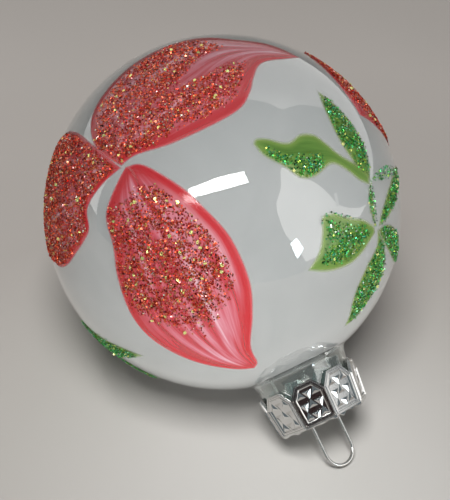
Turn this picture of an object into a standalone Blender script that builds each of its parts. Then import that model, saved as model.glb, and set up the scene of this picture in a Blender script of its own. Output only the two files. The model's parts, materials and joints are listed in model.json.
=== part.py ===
"""Glass ball ornament: a painted glass ball with a neck, its crown cap and its wire hanger.

The ball is built round its own centre with the neck along +Z (the ball frame), and is then laid
on the table: it rests on the ball and on one flat of the cap's edge, with the neck towards -Y.
"""
from math import asin, atan2, cos, hypot, pi, radians, sin, sqrt, tan

import bmesh
import bpy
from mathutils import Matrix, Vector

MM = 0.001

# Fits, in millimetres
SEAT_GAP = 0.3  # between two pieces that touch
HOLE_CLEARANCE = 0.3  # round the wire in the cap's holes
RIM_CLEARANCE = 0.65  # round the neck's rim inside the cap

# Glass ball
BALL_RADIUS = 40.0
GLASS_WALL = 0.9
NECK_RISE = 10.9  # from the top of the ball's sphere to the neck's rim
NECK_ROOT_RADIUS = 10.9
NECK_RIM_RADIUS = 9.4
NECK_FILLET = 2.0
BALL_STEPS = 48
BALL_ARC_PARTS = 22
FILLET_PARTS = 3

# White coat inside the ball
COAT_WALL = 0.3
COAT_SETBACK = 0.5  # degrees from the end of the neck's bend to the coat's edge

# Cap
CAP_FLATS = 9
CAP_SHEET = 0.3
CAP_EDGE_ROUND = 0.5
TAB_HEIGHT = 9.8
TAB_TIP_WIDTH = 4.0
NOTCH_DEPTH = 2.7
PANEL_BORDER = 0.4  # flat strip round each tab's sunk panel, inside the rounded edge
PANEL_SINK = 0.12

# Wire hanger
WIRE_RADIUS = 0.4
LOOP_HALF_WIDTH = 3.6
LOOP_HEIGHT = 11.5
LEG_STRAIGHT = 1.5
LEG_DEPTH = 21.5
LEG_SPLAY_DEPTH = 7.0
WIRE_ARC_PARTS = 12

# Paint and glitter
PAINT_THICKNESS = 0.25
GLITTER_THICKNESS = 0.4

# Flowers: polar angle of the centre from the neck, and azimuth about it, in degrees
FLOWERS = {"front": (110.0, 142.0), "back": (108.0, -20.0)}
FLOWER_EYE = 3.0  # bare middle that the petals start from
# Petals: heading from the flower's centre (0 towards the neck), reach, half width and bow, in degrees
PETALS = {
    "neck": (0.0, 79.0, 20.5, 0.0),
    "right": (-118.0, 73.0, 19.0, 10.0),
    "left": (98.0, 66.0, 21.0, 0.0),
}
PETAL_GRID = (12, 6)
PETAL_GLITTER = (0.06, 0.64, 0.82)  # start and end along the petal, and share of its width
PETAL_GLITTER_GRID = (8, 4)

# Joints of the leaf sprigs: polar angle and azimuth
JOINTS = {
    "front_a": (76.0, 69.0),
    "front_b": (61.5, 69.0),
    "back_a": (82.0, -137.0),
    "back_b": (71.0, -137.0),
}
LEAF_STALK = 3.0  # from the joint to where a leaf starts
# Leaves: joint, heading, reach, half width and bow
LEAVES = {
    "front_1": ("front_a", 175.0, 31.5, 5.2, 1.0),
    "front_2": ("front_a", 117.0, 42.5, 6.4, -1.0),
    "front_3": ("front_b", 82.0, 31.0, 8.2, -2.5),
    "front_4": ("front_b", 14.0, 33.0, 5.4, -2.0),
    "front_5": ("front_b", -114.0, 34.0, 5.0, 1.5),
    "front_6": ("front_b", -52.0, 30.0, 5.4, 2.0),
    "back_1": ("back_a", -53.0, 50.0, 6.0, 2.0),
    "back_2": ("back_b", -28.0, 31.0, 6.0, 2.0),
    "back_3": ("back_a", 174.0, 30.0, 5.4, -2.0),
    "back_4": ("back_a", 116.0, 36.0, 6.2, 0.0),
    "back_5": ("back_b", 92.0, 26.0, 5.2, -2.0),
}
LEAF_GRID = (10, 4)
LEAF_GLITTER = (0.10, 0.93, 0.72)
LEAF_GLITTER_GRID = (8, 4)
# Stems: joint, heading, reach, half width and bow
STEMS = {"front": ("front_a", 2.0, 14.0, 1.0, 0.6), "back": ("back_a", 2.0, 10.6, 1.0, 0.6)}
STEM_GRID = (6, 2)

# Worked out from the sizes above
NECK_RIM_LEVEL = BALL_RADIUS + NECK_RISE
CAP_PLATE_LEVEL = NECK_RIM_LEVEL + SEAT_GAP + CAP_SHEET  # the plate's outer face
CAP_MOUTH_LEVEL = CAP_PLATE_LEVEL - TAB_HEIGHT
CAP_PLATE_APOTHEM = NECK_RIM_RADIUS + RIM_CLEARANCE + CAP_SHEET
CAP_MOUTH_APOTHEM = NECK_ROOT_RADIUS + SEAT_GAP + CAP_SHEET
CAP_TURN = pi / 2  # one flat of the cap faces the table
NECK_BORE_RADIUS = min(NECK_RIM_RADIUS, NECK_ROOT_RADIUS) - GLASS_WALL  # at the neck's narrow end
LEG_END_RADIUS = NECK_BORE_RADIUS - SEAT_GAP - WIRE_RADIUS
PAINT_LIFT = SEAT_GAP
GLITTER_LIFT = PAINT_LIFT + PAINT_THICKNESS + SEAT_GAP

# Lying on the ball and on the rounded edge of the plate: the edge's rounding and the ball share a tangent
EDGE_CENTRE = (CAP_PLATE_LEVEL - CAP_EDGE_ROUND, CAP_PLATE_APOTHEM - CAP_EDGE_ROUND)
LEAN = asin((BALL_RADIUS - CAP_EDGE_ROUND) / hypot(*EDGE_CENTRE)) - atan2(EDGE_CENTRE[1], EDGE_CENTRE[0])


def empty_scene():
    """Remove what the scene holds."""
    for thing in list(bpy.data.objects):
        bpy.data.objects.remove(thing, do_unlink=True)


def new_collection(name):
    """Make a collection in the scene."""
    collection = bpy.data.collections.new(name)
    bpy.context.scene.collection.children.link(collection)
    return collection


def make_material(name, colour, roughness, metallic=0.0, transmission=0.0):
    """Make one Principled material."""
    material = bpy.data.materials.new(name)
    material.use_nodes = True
    shader = material.node_tree.nodes["Principled BSDF"]
    shader.inputs["Base Color"].default_value = (*colour, 1.0)
    shader.inputs["Roughness"].default_value = roughness
    shader.inputs["Metallic"].default_value = metallic
    shader.inputs["Transmission Weight"].default_value = transmission
    material.diffuse_color = (*colour, 1.0)
    return material


def add_object(name, mesh, collection, material=None):
    """Put a mesh into a collection as an object."""
    thing = bpy.data.objects.new(name, mesh)
    if material:
        mesh.materials.append(material)
    collection.objects.link(thing)
    return thing


def mesh_from(shape, name):
    """Turn a bmesh whose sizes are in millimetres into a mesh in metres."""
    bmesh.ops.scale(shape, vec=(MM, MM, MM), verts=shape.verts)
    mesh = bpy.data.meshes.new(name)
    shape.to_mesh(mesh)
    shape.free()
    return mesh


def shade_smooth(thing, angle):
    """Shade smooth, with sharp edges where faces meet at more than the angle, in degrees."""
    thing.data.shade_smooth()
    thing.data.set_sharp_from_angle(angle=radians(angle))


def apply_modifiers(thing):
    """Replace an object's mesh with what its modifiers make of it."""
    depsgraph = bpy.context.evaluated_depsgraph_get()
    mesh = bpy.data.meshes.new_from_object(thing.evaluated_get(depsgraph))
    thing.modifiers.clear()
    thing.data = mesh


def turned(name, profile, collection, material):
    """Turn a profile of (radius, level) points, which runs down its outer side, about the neck axis."""
    shape = bmesh.new()
    points = [shape.verts.new((radius, 0.0, level)) for radius, level in profile]
    for start, end in zip(points, points[1:]):
        shape.edges.new((start, end))
    thing = add_object(name, mesh_from(shape, name), collection, material)
    screw = thing.modifiers.new("Turn", "SCREW")
    screw.steps = BALL_STEPS
    screw.render_steps = BALL_STEPS
    screw.use_merge_vertices = True
    screw.merge_threshold = 0.00001
    apply_modifiers(thing)
    shade_smooth(thing, 40)
    return thing


def arc(centre, radius, start, end, parts):
    """Points (x, y) on an arc, from one angle to another in radians."""
    angles = [start + (end - start) * step / parts for step in range(parts + 1)]
    return [(centre[0] + radius * cos(angle), centre[1] + radius * sin(angle)) for angle in angles]


def neck_bend(inset):
    """The fillet between ball and neck, inset from the outside: its centre, radius and end angle."""
    fillet = NECK_FILLET + inset
    reach = NECK_ROOT_RADIUS + NECK_FILLET
    level = sqrt((BALL_RADIUS + NECK_FILLET) ** 2 - reach**2)
    return (reach, level), fillet, atan2(level, reach)


def wall_profile(inset):
    """One side of the glass from the neck's rim down to the bottom of the ball, inset from the outside."""
    centre, fillet, meet = neck_bend(inset)
    ball = BALL_RADIUS - inset
    rim = [(NECK_RIM_RADIUS - inset, NECK_RIM_LEVEL)]
    bend = arc(centre, fillet, pi, pi + meet, FILLET_PARTS)
    sphere = arc((0.0, 0.0), ball, meet, -pi / 2, BALL_ARC_PARTS)[1:-1]
    return rim + bend + sphere + [(0.0, -ball)]


def build_glass_ball(collection, material):
    """The blown glass: a ball and its neck in one wall, open at the rim."""
    outside = wall_profile(0.0)
    inside = wall_profile(GLASS_WALL)
    return turned("glass_ball", list(reversed(inside)) + outside, collection, material)


def build_white_coat(collection, material):
    """The white coat inside the ball, open towards the neck."""
    outer = BALL_RADIUS - GLASS_WALL - SEAT_GAP
    inner = outer - COAT_WALL
    edge = neck_bend(GLASS_WALL)[2] - radians(COAT_SETBACK)
    outside = arc((0.0, 0.0), outer, edge, -pi / 2, BALL_ARC_PARTS)[:-1] + [(0.0, -outer)]
    inside = arc((0.0, 0.0), inner, edge, -pi / 2, BALL_ARC_PARTS)[:-1] + [(0.0, -inner)]
    return turned("white_coat", list(reversed(inside)) + outside, collection, material)


def cap_apothem(level):
    """Distance from the neck axis to a flat of the cap, at a level."""
    down = (CAP_PLATE_LEVEL - level) / TAB_HEIGHT
    return CAP_PLATE_APOTHEM + (CAP_MOUTH_APOTHEM - CAP_PLATE_APOTHEM) * down


def cap_point(flat, sideways, level):
    """A point on one flat of the cap, sideways from its middle."""
    turn = Matrix.Rotation(-CAP_TURN + 2 * pi * flat / CAP_FLATS, 3, "Z")
    return turn @ Vector((cap_apothem(level), sideways, level))


def build_cap(collection, cutters, material):
    """The crown cap: a nine-sided plate with nine tabs, pressed from one sheet."""
    shape = bmesh.new()
    half_flat = tan(pi / CAP_FLATS)
    notch_level = CAP_MOUTH_LEVEL + NOTCH_DEPTH
    for flat in range(CAP_FLATS):
        outline = [
            (-half_flat * cap_apothem(CAP_PLATE_LEVEL), CAP_PLATE_LEVEL),
            (-half_flat * cap_apothem(notch_level), notch_level),
            (-TAB_TIP_WIDTH / 2, CAP_MOUTH_LEVEL),
            (TAB_TIP_WIDTH / 2, CAP_MOUTH_LEVEL),
            (half_flat * cap_apothem(notch_level), notch_level),
            (half_flat * cap_apothem(CAP_PLATE_LEVEL), CAP_PLATE_LEVEL),
        ]
        shape.faces.new([shape.verts.new(cap_point(flat, *place)) for place in outline])
    bmesh.ops.remove_doubles(shape, verts=shape.verts, dist=0.01)
    panels = list(shape.faces)
    rim = [vert for vert in shape.verts if vert.co.z > CAP_PLATE_LEVEL - 0.01]
    rim.sort(key=lambda vert: atan2(vert.co.y, vert.co.x))
    shape.faces.new(rim)
    border = CAP_EDGE_ROUND + PANEL_BORDER
    bmesh.ops.inset_individual(shape, faces=panels, thickness=border, depth=0.0)
    bmesh.ops.inset_individual(shape, faces=panels, thickness=PANEL_SINK, depth=-PANEL_SINK)
    cap = add_object("cap", mesh_from(shape, "cap"), collection, material)

    bevel = cap.modifiers.new("Plate edge", "BEVEL")
    bevel.width = CAP_EDGE_ROUND * MM
    bevel.segments = 2
    bevel.limit_method = "ANGLE"
    bevel.angle_limit = radians(60)
    sheet = cap.modifiers.new("Sheet", "SOLIDIFY")
    sheet.thickness = CAP_SHEET * MM
    sheet.offset = -1.0
    sheet.use_even_offset = True
    for side in (-1, 1):
        hole = bmesh.new()
        bmesh.ops.create_cone(
            hole,
            cap_ends=True,
            segments=16,
            radius1=WIRE_RADIUS + HOLE_CLEARANCE,
            radius2=WIRE_RADIUS + HOLE_CLEARANCE,
            depth=6 * CAP_SHEET,
            matrix=Matrix.Translation((side * LOOP_HALF_WIDTH, 0.0, CAP_PLATE_LEVEL - CAP_SHEET / 2)),
        )
        cutter = add_object(f"hole_cutter_{side}", mesh_from(hole, "hole"), cutters)
        cutter.display_type = "WIRE"
        cutter.hide_render = True
        cut = cap.modifiers.new("Wire hole", "BOOLEAN")
        cut.operation = "DIFFERENCE"
        cut.solver = "EXACT"
        cut.object = cutter
    return cap


def wire_half():
    """The hanger's centre line on its +X side, from the end of the leg to the top of the loop."""
    crown_level = CAP_PLATE_LEVEL + LOOP_HEIGHT - WIRE_RADIUS - LOOP_HALF_WIDTH
    under_plate = CAP_PLATE_LEVEL - CAP_SHEET - LEG_STRAIGHT
    shift = LEG_END_RADIUS - LOOP_HALF_WIDTH
    leg = [(LEG_END_RADIUS, CAP_PLATE_LEVEL - LEG_DEPTH)]
    # From the neck's wall back to the hole, along half a cosine wave
    for step in range(WIRE_ARC_PARTS + 1):
        share = step / WIRE_ARC_PARTS
        x = LEG_END_RADIUS - shift * (1 - cos(pi * share)) / 2
        leg.append((x, under_plate - LEG_SPLAY_DEPTH * (1 - share)))
    crown = arc((0.0, crown_level), LOOP_HALF_WIDTH, 0.0, pi / 2, WIRE_ARC_PARTS)
    return leg + crown


def build_hanger(collection, material):
    """The wire hanger: a loop above the cap, and two legs that press on the neck's wall."""
    right = wire_half()
    left = [(-x, level) for x, level in reversed(right[:-1])]
    line = bpy.data.curves.new("hanger_wire", "CURVE")
    line.dimensions = "3D"
    line.bevel_depth = WIRE_RADIUS * MM
    line.bevel_resolution = 2
    line.use_fill_caps = True
    spline = line.splines.new("POLY")
    path = right + left
    spline.points.add(len(path) - 1)
    for point, (x, level) in zip(spline.points, path):
        point.co = (x * MM, 0.0, level * MM, 1.0)
    curve = add_object("hanger_curve", line, collection)
    depsgraph = bpy.context.evaluated_depsgraph_get()
    mesh = bpy.data.meshes.new_from_object(curve.evaluated_get(depsgraph))
    bpy.data.objects.remove(curve, do_unlink=True)
    shape = bmesh.new()
    shape.from_mesh(mesh)
    bmesh.ops.remove_doubles(shape, verts=shape.verts, dist=0.00001)
    shape.to_mesh(mesh)
    shape.free()
    hanger = add_object("hanger_wire", mesh, collection, material)
    shade_smooth(hanger, 60)
    return hanger


def direction(polar, azimuth):
    """Unit vector at a polar angle from the neck and an azimuth about it, in degrees."""
    tilt = radians(polar)
    turn = radians(azimuth)
    return Vector((sin(tilt) * cos(turn), sin(tilt) * sin(turn), cos(tilt)))


def surface_frame(polar, azimuth, heading):
    """Outward, forward and left unit vectors at a place on the ball. Heading 0 points to the neck."""
    outward = direction(polar, azimuth)
    to_neck = -direction(polar + 90.0, azimuth)
    east = to_neck.cross(outward)
    forward = to_neck * cos(radians(heading)) + east * sin(radians(heading))
    return outward, forward, outward.cross(forward)


def blade_width(along):
    """Share of a blade's half width at a share of its length: pointed at both ends."""
    return max(sin(pi * along**0.88), 0.0) ** 0.8


def blade_point(blade, along, across, radius):
    """A point on a blade-shaped patch of the ball: along its bowed spine and across it."""
    (polar, azimuth), start, heading, reach, half_width, bow = blade
    outward, forward, left = surface_frame(polar, azimuth, heading)
    angle = radians(start + (reach - start) * along)
    offset = radians(bow * sin(pi * along) ** 0.7 + half_width * across) if 0 < along < 1 else 0.0
    spine = outward * cos(angle) + forward * sin(angle)
    return (spine * cos(offset) + left * sin(offset)) * radius


def glitter_outline(step, extent):
    """Place along the blade and share of its half width, at a share of the glitter's own length."""
    start, end, share = extent
    along = start + (end - start) * step
    return along, share * blade_width(along) * max(sin(pi * step), 0.0) ** 0.35


def patch(name, blade, extent, grid, lift, thickness, collection, material):
    """A thin closed layer on the ball: a whole blade of paint, or a bed of glitter on part of it."""
    shape = bmesh.new()
    rows, columns = grid
    bmesh.ops.create_grid(shape, x_segments=columns, y_segments=rows, size=1.0)
    for vert in shape.verts:
        step = (vert.co.y + 1) / 2
        along, width = glitter_outline(step, extent) if extent else (step, blade_width(step))
        vert.co = blade_point(blade, along, vert.co.x * width, BALL_RADIUS + lift)
    bmesh.ops.remove_doubles(shape, verts=shape.verts, dist=0.02)
    bmesh.ops.recalc_face_normals(shape, faces=shape.faces)
    first = next(iter(shape.faces))
    if first.normal.dot(first.calc_center_median()) < 0:
        bmesh.ops.reverse_faces(shape, faces=shape.faces)
    thing = add_object(name, mesh_from(shape, name), collection, material)
    layer = thing.modifiers.new("Layer", "SOLIDIFY")
    layer.thickness = thickness * MM
    layer.offset = 1.0
    layer.use_even_offset = True
    shade_smooth(thing, 50)
    return thing


def build_flowers(collection, petal_material, glitter_material):
    """Six painted petals and the glitter beds on them."""
    for flower, centre in FLOWERS.items():
        for petal, shape in PETALS.items():
            blade = (centre, FLOWER_EYE, *shape)
            name = f"{flower}_{petal}"
            patch(f"petal_{name}", blade, None, PETAL_GRID, PAINT_LIFT, PAINT_THICKNESS, collection,
                  petal_material)
            patch(f"petal_glitter_{name}", blade, PETAL_GLITTER, PETAL_GLITTER_GRID, GLITTER_LIFT,
                  GLITTER_THICKNESS, collection, glitter_material)


def build_leaves(collection, leaf_material, glitter_material):
    """The painted leaves with their glitter, and the stems between them."""
    for name, (joint, *shape) in LEAVES.items():
        blade = (JOINTS[joint], LEAF_STALK, *shape)
        patch(f"leaf_{name}", blade, None, LEAF_GRID, PAINT_LIFT, PAINT_THICKNESS, collection,
              leaf_material)
        patch(f"leaf_glitter_{name}", blade, LEAF_GLITTER, LEAF_GLITTER_GRID, GLITTER_LIFT,
              GLITTER_THICKNESS, collection, glitter_material)
    for name, (joint, *shape) in STEMS.items():
        blade = (JOINTS[joint], 0.0, *shape)
        patch(f"stem_{name}", blade, None, STEM_GRID, PAINT_LIFT, PAINT_THICKNESS, collection,
              leaf_material)


def lay_down(collection):
    """Lay everything on the table, the neck above the Y axis and the middle of the depth on the origin."""
    pose = bpy.data.objects.new("lying_pose", None)
    collection.objects.link(pose)
    pose.rotation_euler = (pi / 2 + LEAN, 0.0, 0.0)
    for thing in collection.objects:
        if thing.type == "MESH":
            thing.parent = pose
    bpy.context.view_layer.update()
    corners = world_corners(collection)
    depths = [corner.y for corner in corners]
    pose.location = (0.0, -(min(depths) + max(depths)) / 2, -min(corner.z for corner in corners))


def world_corners(collection):
    """Every vertex of the finished pieces, in world coordinates."""
    depsgraph = bpy.context.evaluated_depsgraph_get()
    places = []
    for thing in collection.objects:
        if thing.type == "MESH":
            finished = thing.evaluated_get(depsgraph)
            places += [finished.matrix_world @ vert.co for vert in finished.data.vertices]
    return places


def main():
    """Build the ornament."""
    empty_scene()
    collection = new_collection("glass_ball_ornament")
    cutters = new_collection("cutters")
    glass = make_material("clear_glass", (0.78, 0.83, 0.80), 0.05, transmission=0.9)
    white = make_material("white_coat", (0.78, 0.78, 0.75), 0.35)
    silver = make_material("silver_cap", (0.80, 0.80, 0.79), 0.15, metallic=1.0)
    steel = make_material("steel_wire", (0.62, 0.62, 0.60), 0.2, metallic=1.0)
    pink = make_material("petal_paint", (0.66, 0.12, 0.16), 0.25)
    red = make_material("red_glitter", (0.55, 0.10, 0.07), 0.4)
    green = make_material("leaf_paint", (0.12, 0.28, 0.07), 0.3)
    green_glitter = make_material("green_glitter", (0.10, 0.36, 0.13), 0.4)

    build_glass_ball(collection, glass)
    build_white_coat(collection, white)
    build_cap(collection, cutters, silver)
    build_hanger(collection, steel)
    build_flowers(collection, pink, red)
    build_leaves(collection, green, green_glitter)
    lay_down(collection)
    for cutter in cutters.objects:
        cutter.parent = bpy.data.objects["lying_pose"]


main()
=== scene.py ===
"""Looks of the glass ball ornament: clear glass lined with milky paint, painted flowers and leaves
with loose glitter, a pressed cap and its wire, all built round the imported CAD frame.

Shapes are made in the ball frame: millimetres, the ball's middle at the origin, the neck along +Z.
"""
import json
import random
from functools import partial
from math import atan2, cos, exp, pi, radians, sin, sqrt, tan

import bmesh
import bpy
import numpy as np
from mathutils import Euler, Matrix, Vector, noise

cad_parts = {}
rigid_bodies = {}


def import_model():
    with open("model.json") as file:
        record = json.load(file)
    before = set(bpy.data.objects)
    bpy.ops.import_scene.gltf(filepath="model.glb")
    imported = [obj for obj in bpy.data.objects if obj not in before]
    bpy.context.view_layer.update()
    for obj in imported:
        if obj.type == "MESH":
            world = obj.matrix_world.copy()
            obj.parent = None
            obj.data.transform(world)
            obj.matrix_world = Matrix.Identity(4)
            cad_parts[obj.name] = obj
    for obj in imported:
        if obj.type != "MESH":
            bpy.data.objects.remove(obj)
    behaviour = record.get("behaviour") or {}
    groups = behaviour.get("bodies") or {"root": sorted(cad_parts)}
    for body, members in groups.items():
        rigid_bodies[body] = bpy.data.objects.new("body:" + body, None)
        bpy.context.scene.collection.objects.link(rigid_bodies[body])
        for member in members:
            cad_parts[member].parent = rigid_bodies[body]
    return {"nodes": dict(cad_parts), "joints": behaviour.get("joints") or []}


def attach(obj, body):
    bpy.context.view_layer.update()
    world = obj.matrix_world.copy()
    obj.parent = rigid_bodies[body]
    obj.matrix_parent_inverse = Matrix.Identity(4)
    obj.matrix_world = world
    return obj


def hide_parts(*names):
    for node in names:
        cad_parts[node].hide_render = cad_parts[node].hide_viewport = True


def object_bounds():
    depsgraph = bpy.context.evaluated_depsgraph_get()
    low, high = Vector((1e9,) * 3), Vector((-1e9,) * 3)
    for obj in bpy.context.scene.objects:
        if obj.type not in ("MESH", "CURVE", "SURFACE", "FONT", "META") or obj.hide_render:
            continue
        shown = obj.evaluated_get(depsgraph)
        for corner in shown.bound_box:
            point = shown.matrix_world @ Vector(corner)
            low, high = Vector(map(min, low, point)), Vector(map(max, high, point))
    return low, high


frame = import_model()
CAD_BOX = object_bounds()

MM = 0.001


# ---------------------------------------------------------------- the frame's own sizes

def sphere_centre(node):
    """Centre of the sphere that a node's vertices lie round, by least squares, in metres."""
    points = np.array([vert.co for vert in frame["nodes"][node].data.vertices])
    system = np.c_[2 * points, np.ones(len(points))]
    answer = np.linalg.lstsq(system, (points**2).sum(axis=1), rcond=None)[0]
    return Vector(answer[:3])


def neck_direction():
    """Unit vector from the ball towards its cap."""
    joint = next(joint for joint in frame["joints"] if joint["name"] == "cap_off_neck")
    return -Vector(joint["axis"]).normalized()


CENTRE = sphere_centre("white_coat")
NECK = neck_direction()
SIDE = Vector((1.0, 0.0, 0.0))
TO_WORLD = Matrix.Translation(CENTRE) @ Matrix((SIDE, NECK.cross(SIDE), NECK)).transposed().to_4x4()
TO_WORLD = TO_WORLD @ Matrix.Scale(MM, 4)


def in_ball_frame(node):
    """A node's vertices in the ball frame, in millimetres."""
    back = TO_WORLD.inverted()
    return np.array([back @ vert.co for vert in frame["nodes"][node].data.vertices])


GLASS = in_ball_frame("glass_ball")
CAP = in_ball_frame("cap")
WIRE = in_ball_frame("hanger_wire")

BALL = -GLASS[:, 2].min()  # the ball's radius
GLASS_WALL = 0.9
RIM_LEVEL = GLASS[:, 2].max()
RIM_DEPTH = 0.1  # the part of the neck below its top that counts as its rim
RIM_RADIUS = GLASS[GLASS[:, 2] > RIM_LEVEL - RIM_DEPTH, 0].max()
NECK_ROOT_RADIUS = 10.9
NECK_FILLET = 2.0
PLATE_LEVEL = CAP[:, 2].max()
MOUTH_LEVEL = CAP[:, 2].min()
MOUTH_APOTHEM = -CAP[:, 1].min()
CAP_FLATS = 9
CAP_SHEET = 0.3
RIM_CLEARANCE = 0.65
PLATE_APOTHEM = RIM_RADIUS + RIM_CLEARANCE + CAP_SHEET
CAP_TURN = radians(14.0) - pi / 2  # the first flat's direction: 14 degrees round from straight down
TAB_TIP_WIDTH = 4.0
NOTCH_DEPTH = 2.7
WIRE_RADIUS = 0.4
LOOP_TOP = WIRE[:, 2].max()
LOOP_HALF_WIDTH = WIRE[WIRE[:, 2] > PLATE_LEVEL, 0].max() - WIRE_RADIUS
LEG_END = WIRE[:, 2].min()
LEG_END_RADIUS = WIRE[:, 0].max() - WIRE_RADIUS


# ---------------------------------------------------------------- mesh helpers

def new_object(name, data):
    """Put a mesh, a camera or a lamp in the scene."""
    thing = bpy.data.objects.new(name, data)
    bpy.context.scene.collection.objects.link(thing)
    return thing


def piece(name, mesh, material, body, slot, *replaced):
    """Make a mesh in the ball frame a piece of the object: placed, shaded and riding on its body."""
    mesh.transform(TO_WORLD)
    mesh.materials.append(material)
    thing = new_object(name, mesh)
    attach(thing, body)
    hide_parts(*replaced)


def mesh_of(shape, name, sharp=None):
    """Finish a bmesh as a mesh, smooth where its faces meet at less than the sharp angle, in degrees."""
    mesh = bpy.data.meshes.new(name)
    shape.to_mesh(mesh)
    shape.free()
    if sharp is not None:
        mesh.shade_smooth()
        mesh.set_sharp_from_angle(angle=radians(sharp))
    return mesh


def point_attribute(mesh, name, values):
    """Store one number for each vertex, for a material to read."""
    mesh.attributes.new(name, "FLOAT", "POINT").data.foreach_set("value", np.asarray(values, np.float32))


def arc(centre, radius, start, end, parts):
    """Points (x, y) on an arc, from one angle to another in radians."""
    angles = [start + (end - start) * step / parts for step in range(parts + 1)]
    return [(centre[0] + radius * cos(angle), centre[1] + radius * sin(angle)) for angle in angles]


def join_rings(shape, rings):
    """Faces between rings of vertices that follow each other. A ring of one vertex is a tip."""
    for first, second in zip(rings, rings[1:]):
        for step in range(max(len(first), len(second))):
            corners = [first[step % len(first)], first[(step + 1) % len(first)],
                       second[(step + 1) % len(second)], second[step % len(second)]]
            shape.faces.new(list(dict.fromkeys(corners)))


def turned(profile, steps, name):
    """Turn a profile of (radius, level) points about the neck axis. A radius of 0 makes a tip."""
    shape = bmesh.new()
    turns = [2 * pi * step / steps for step in range(steps)]
    rings = []
    for radius, level in profile:
        around = turns if radius > 0 else turns[:1]
        rings.append([shape.verts.new((radius * cos(turn), radius * sin(turn), level)) for turn in around])
    join_rings(shape, rings)
    bmesh.ops.recalc_face_normals(shape, faces=shape.faces)
    return mesh_of(shape, name, sharp=35)


# ---------------------------------------------------------------- material helpers

CLEARNESS = 0.97  # share of a soft ray that glass and paint let through


class Shader:
    """The nodes of one material or world, with short ways to add what most of them need."""

    def __init__(self, owner):
        owner.use_nodes = True
        self.owner = owner
        self.tree = owner.node_tree
        self.tree.nodes.clear()

    def put(self, value, socket):
        """Link an output, or a node's first output, to an input, or set a plain value there."""
        if isinstance(value, bpy.types.Node):
            value = value.outputs[0]
        if isinstance(value, bpy.types.NodeSocket):
            self.tree.links.new(value, socket)
        else:
            socket.default_value = value

    def node(self, kind, *values, **settings):
        """A node. Values fill its inputs in order, and settings name an input, with _ for a space, or a
        property."""
        made = self.tree.nodes.new("ShaderNode" + kind)
        for key, value in settings.items():
            socket = made.inputs.get(key.replace("_", " "))
            if socket is None:
                setattr(made, key, value)
            else:
                self.put(value, socket)
        for value, socket in zip(values, made.inputs):
            self.put(value, socket)
        return made

    def texture(self, kind, **settings):
        """A texture that sticks to the object."""
        return self.node("Tex" + kind, Vector=self.node("TexCoord").outputs["Object"], **settings)

    def mapped(self, value, low, high, start=0.0, end=1.0, **settings):
        """A value's place between start and end, as a value between low and high."""
        return self.node("MapRange", value, start, end, low, high, **settings)

    def ramp(self, stops, value):
        """A colour ramp with stops of (place, colour), read at a value."""
        made = self.node("ValToRGB", value)
        elements = made.color_ramp.elements
        elements[0].position, elements[0].color = stops[0]
        elements[1].position, elements[1].color = stops[-1]
        for place, colour in stops[1:-1]:
            elements.new(place).color = colour
        return made

    def mixed_colour(self, share, first, second, blend_type="MIX"):
        """A share of the second colour laid over the first."""
        made = self.node("Mix", share, data_type="RGBA", blend_type=blend_type)
        self.put(first, made.inputs[6])
        self.put(second, made.inputs[7])
        return made.outputs[2]

    def passes_soft_light(self, shader):
        """The shader for what looks at it, and clear for soft and shadow rays, so that they go on."""
        path = self.node("LightPath")
        either = self.node("Math", path.outputs["Is Shadow Ray"], path.outputs["Is Diffuse Ray"],
                           operation="MAXIMUM")
        clear = self.node("BsdfTransparent", grey(CLEARNESS))
        return self.node("MixShader", either, shader, clear)

    def surface(self, shader):
        """Show a shader on the surface, and give back the finished material."""
        self.node("OutputMaterial", shader)
        return self.owner


def new_shader(name):
    """The empty nodes of a new material."""
    return Shader(bpy.data.materials.new(name))


def srgb(red, green, blue):
    """A colour given as 0 to 255 screen values, in the linear values that shaders take."""
    shares = [value / 255 for value in (red, green, blue)]
    linear = [share / 12.92 if share < 0.04045 else ((share + 0.055) / 1.055) ** 2.4 for share in shares]
    return (*linear, 1.0)


def grey(value):
    """A grey of that linear value."""
    return (value, value, value, 1.0)


# ---------------------------------------------------------------- materials

def clear_glass():
    """Blown glass with a faint green tint, wavy and crackled in the neck."""
    shader = new_shader("clear_glass")
    waves = shader.texture("Noise", Scale=120.0, Detail=3.0, Roughness=0.6)
    cracks = shader.texture("Voronoi", feature="DISTANCE_TO_EDGE", Scale=520.0)
    height = shader.node("Math", waves, cracks, operation="ADD")
    neck = shader.node("Attribute", attribute_name="neck").outputs["Fac"]
    strength = shader.node("Math", neck, 0.12, operation="MULTIPLY")
    bump = shader.node("Bump", Strength=strength, Distance=0.0004, Height=height)
    glass = shader.node("BsdfPrincipled", Base_Color=srgb(240, 246, 243), Roughness=0.02, IOR=1.5,
                        Transmission_Weight=1.0, Coat_Weight=1.0, Coat_Roughness=0.01, Coat_IOR=1.6,
                        Normal=bump)
    return shader.surface(shader.passes_soft_light(glass))


def milky_paint():
    """The poured white lining, with faint cloudy swirls and a faint painted glow that stands in for the light
    scattered inside the ball.
    """
    shader = new_shader("milky_paint")
    clouds = shader.texture("Noise", Scale=45.0, Detail=3.0, Distortion=1.2)
    colour = shader.ramp([(0.3, srgb(205, 206, 206)), (0.7, srgb(214, 214, 214))], clouds)
    # Painted light: the emission makes the paint glow a little, in place of light scattered inside the ball.
    paint = shader.node("BsdfPrincipled", Base_Color=colour, Roughness=0.5, Specular_IOR_Level=0.1,
                        Emission_Color=srgb(250, 252, 252), Emission_Strength=0.12)
    through = shader.node("BsdfTranslucent", colour)
    return shader.surface(shader.node("MixShader", 0.5, paint, through))


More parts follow.
